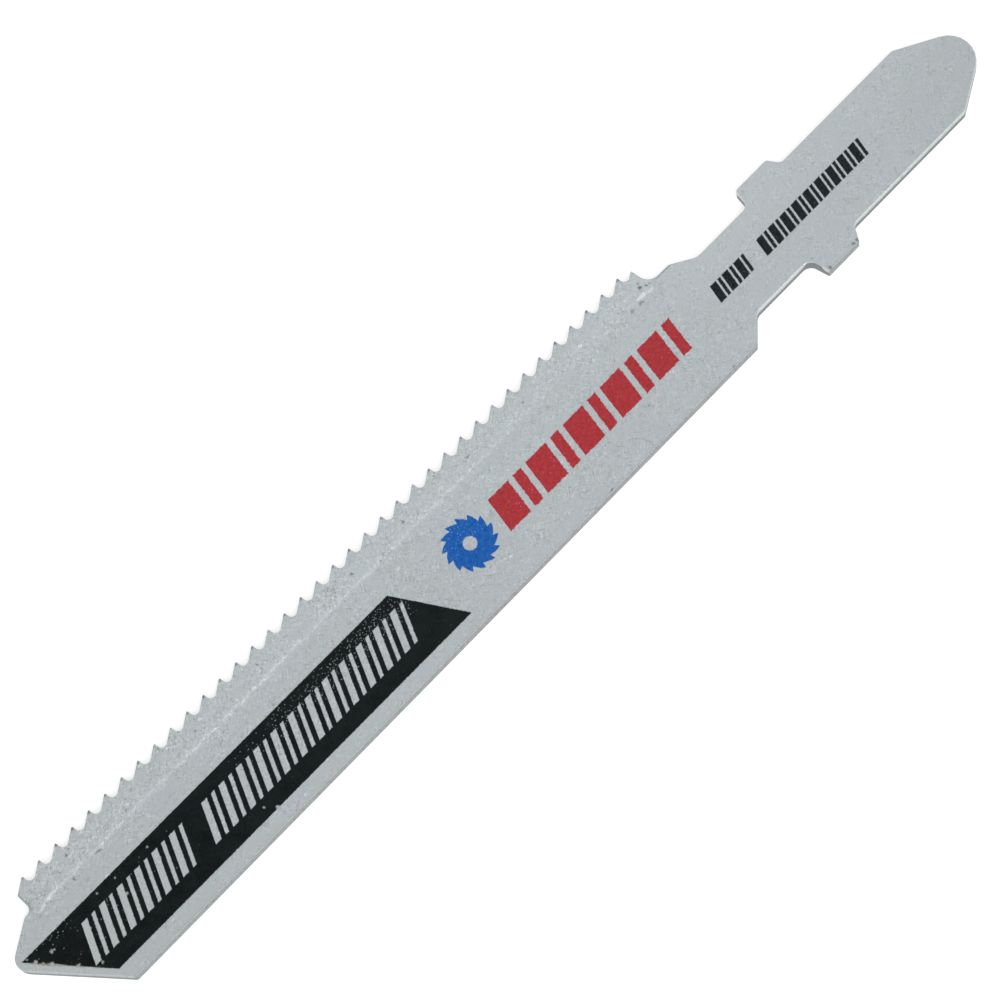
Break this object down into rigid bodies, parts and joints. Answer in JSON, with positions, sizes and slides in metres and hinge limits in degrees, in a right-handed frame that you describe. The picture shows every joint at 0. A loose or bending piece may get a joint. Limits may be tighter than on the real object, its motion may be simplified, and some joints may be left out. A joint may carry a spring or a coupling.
{
  "type": "jigsaw blade",
  "caption": "Flat T-shank jigsaw blade: fine teeth along one edge, slanted tip, narrowed neck, two lugs and a tapered tang.",
  "frame": {"origin": "centre of the bounding box in plan, on the underside, with the blade lying flat", "axes": "+X along the blade from the tip to the tang, +Y from the back edge to the teeth, +Z out of the printed face"},
  "size_m": [0.0826, 0.0096, 0.0009],
  "materials": {
    "blade": "light grey matt coating over steel, with black, red and blue print on the upper face"
  },
  "bodies": {
    "root": {"blade": "blade"}
  },
  "joints": []
}
